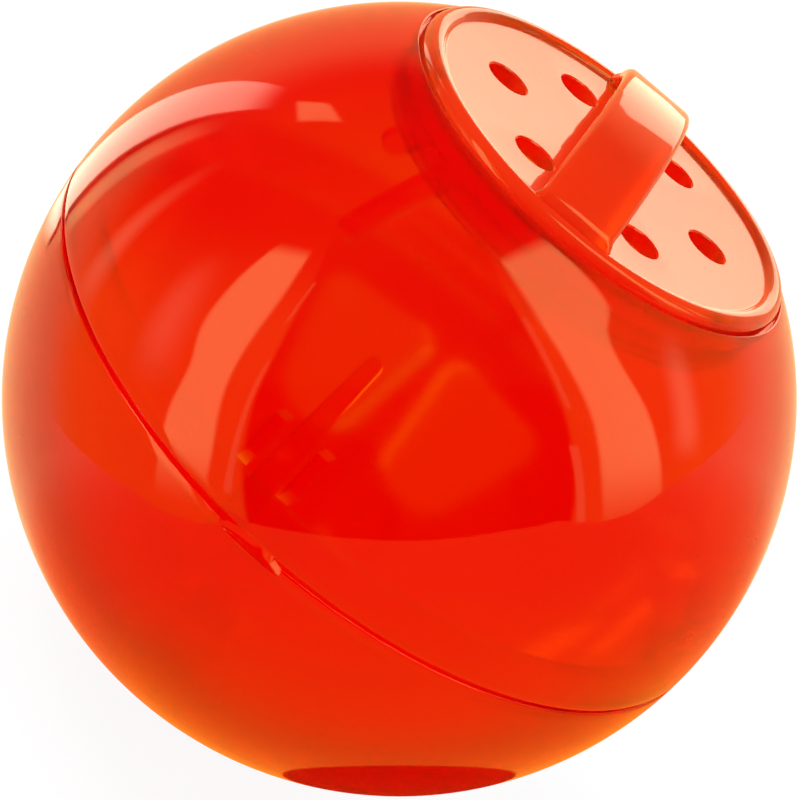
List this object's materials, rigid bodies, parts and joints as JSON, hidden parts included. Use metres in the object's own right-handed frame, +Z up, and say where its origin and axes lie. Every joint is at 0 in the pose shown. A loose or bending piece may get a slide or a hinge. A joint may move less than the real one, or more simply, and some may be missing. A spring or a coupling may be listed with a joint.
{
  "type": "treat dispensing ball",
  "caption": "Translucent hollow ball that rolls out dry food: half shells, a shutter bowl that sets the feed windows, and a vented lid with a strap grip.",
  "frame": {"origin": "lowest point of the ball, on its axis", "axes": "+Z up the ball's axis to the middle of the lid; the strap grip runs along Y; the feed windows face +Y"},
  "size_m": [0.076, 0.076, 0.0766],
  "materials": {
    "moulded_plastic": "gloss, translucent"
  },
  "bodies": {
    "upper_shell": {"upper_shell": "moulded_plastic"},
    "lid": {"lid": "moulded_plastic"},
    "shutter": {"shutter": "moulded_plastic"},
    "lower_shell": {"lower_shell": "moulded_plastic"}
  },
  "joints": [
    {"name": "lid_lift", "type": "slide", "parent": "upper_shell", "child": "lid", "axis": [0, 0, 1], "range_m": [0, 0.03]},
    {"name": "halves_pull", "type": "slide", "parent": "upper_shell", "child": "shutter", "axis": [0, 0, -1], "range_m": [0, 0.035]},
    {"name": "window_turn", "type": "hinge", "parent": "shutter", "child": "lower_shell", "pos_m": [0, 0, 0.038], "axis": [0, 0, 1], "range_deg": [0, 56]}
  ]
}
